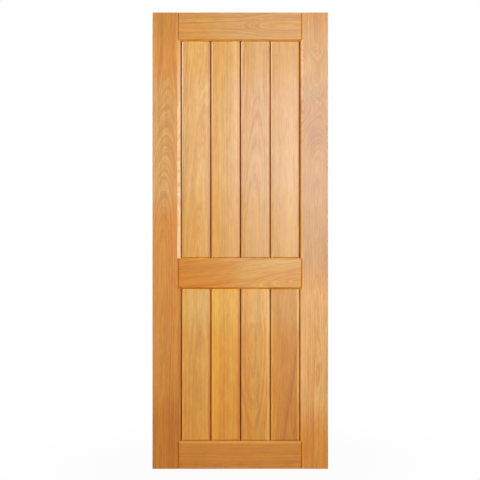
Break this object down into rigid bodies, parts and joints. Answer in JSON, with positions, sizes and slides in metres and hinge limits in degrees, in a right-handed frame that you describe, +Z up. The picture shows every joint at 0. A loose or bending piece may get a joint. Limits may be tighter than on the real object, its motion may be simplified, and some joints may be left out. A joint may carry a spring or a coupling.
{
  "type": "framed boarded wooden door leaf",
  "caption": "Framed and boarded hardwood door leaf: stiles, three rails and two panels of V-jointed boards, satin clear finish",
  "frame": {"origin": "on the outer edge of the hanging stile, at mid thickness, level with the foot of the leaf", "axes": "+X across the leaf from the hanging edge to the lock edge, +Y from the front face to the back face, +Z up"},
  "size_m": [0.762, 0.044, 1.981],
  "materials": {
    "frame_wood": "honey-coloured hardwood with a satin clear coat",
    "board_wood": "paler hardwood boards with a satin clear coat",
    "wedge_wood": "hardwood wedges cut flush, end grain showing"
  },
  "bodies": {
    "root": {"left_stile": "frame_wood", "right_stile": "frame_wood", "bottom_rail": "frame_wood", "middle_rail": "frame_wood", "top_rail": "frame_wood", "lower_board_1": "board_wood", "lower_board_2": "board_wood", "lower_board_3": "board_wood", "lower_board_4": "board_wood", "upper_board_1": "board_wood", "upper_board_2": "board_wood", "upper_board_3": "board_wood", "upper_board_4": "board_wood", "bottom_rail_left_lower_wedge": "wedge_wood", "bottom_rail_left_upper_wedge": "wedge_wood", "bottom_rail_right_lower_wedge": "wedge_wood", "bottom_rail_right_upper_wedge": "wedge_wood", "middle_rail_left_lower_wedge": "wedge_wood", "middle_rail_left_upper_wedge": "wedge_wood", "middle_rail_right_lower_wedge": "wedge_wood", "middle_rail_right_upper_wedge": "wedge_wood", "top_rail_left_lower_wedge": "wedge_wood", "top_rail_left_upper_wedge": "wedge_wood", "top_rail_right_lower_wedge": "wedge_wood", "top_rail_right_upper_wedge": "wedge_wood"}
  },
  "joints": []
}
